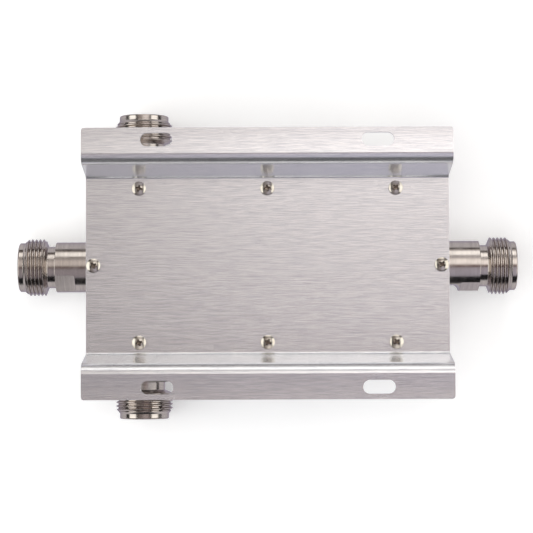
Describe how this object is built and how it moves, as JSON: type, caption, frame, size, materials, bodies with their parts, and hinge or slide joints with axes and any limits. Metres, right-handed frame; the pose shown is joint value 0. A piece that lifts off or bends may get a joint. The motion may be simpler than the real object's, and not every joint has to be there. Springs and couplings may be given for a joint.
{
  "type": "rf power splitter",
  "caption": "Coaxial power splitter: a flat milled aluminium tray with threaded female jacks on its ends and sides, closed by a bent brushed lid with slotted mounting flanges.",
  "frame": {"origin": "middle of the tray's closed face, under the centre of the whole part", "axes": "+X along the length towards the input jack, +Y across towards the rear side output, +Z from the closed face to the mounting flanges"},
  "size_m": [0.1388, 0.0848, 0.0335],
  "materials": {
    "milled_aluminium": "bead-blasted, faintly brushed",
    "brushed_aluminium": "brushed along the length",
    "nickel_plate": "bright nickel over turned brass",
    "screw_steel": "nickel-plated steel",
    "white_ptfe": "waxy white",
    "gold_plate": "gold-plated brass",
    "board_laminate": "woven glass laminate",
    "board_copper": "bare copper",
    "resistor_body": "dark film on ceramic",
    "solder": "bright tin"
  },
  "bodies": {
    "root": {"housing": "milled_aluminium", "mounting_bracket": "brushed_aluminium", "lid_screws": "screw_steel", "circuit_board": "board_laminate", "copper_traces": "board_copper", "isolation_resistors": "resistor_body", "board_screws": "screw_steel", "contact_solder": "solder", "input_shell": "nickel_plate", "input_insulator": "white_ptfe", "input_contact": "gold_plate", "end_output_shell": "nickel_plate", "end_output_insulator": "white_ptfe", "end_output_contact": "gold_plate", "front_output_shell": "nickel_plate", "front_output_insulator": "white_ptfe", "front_output_contact": "gold_plate", "rear_output_shell": "nickel_plate", "rear_output_insulator": "white_ptfe", "rear_output_contact": "gold_plate"}
  },
  "joints": []
}
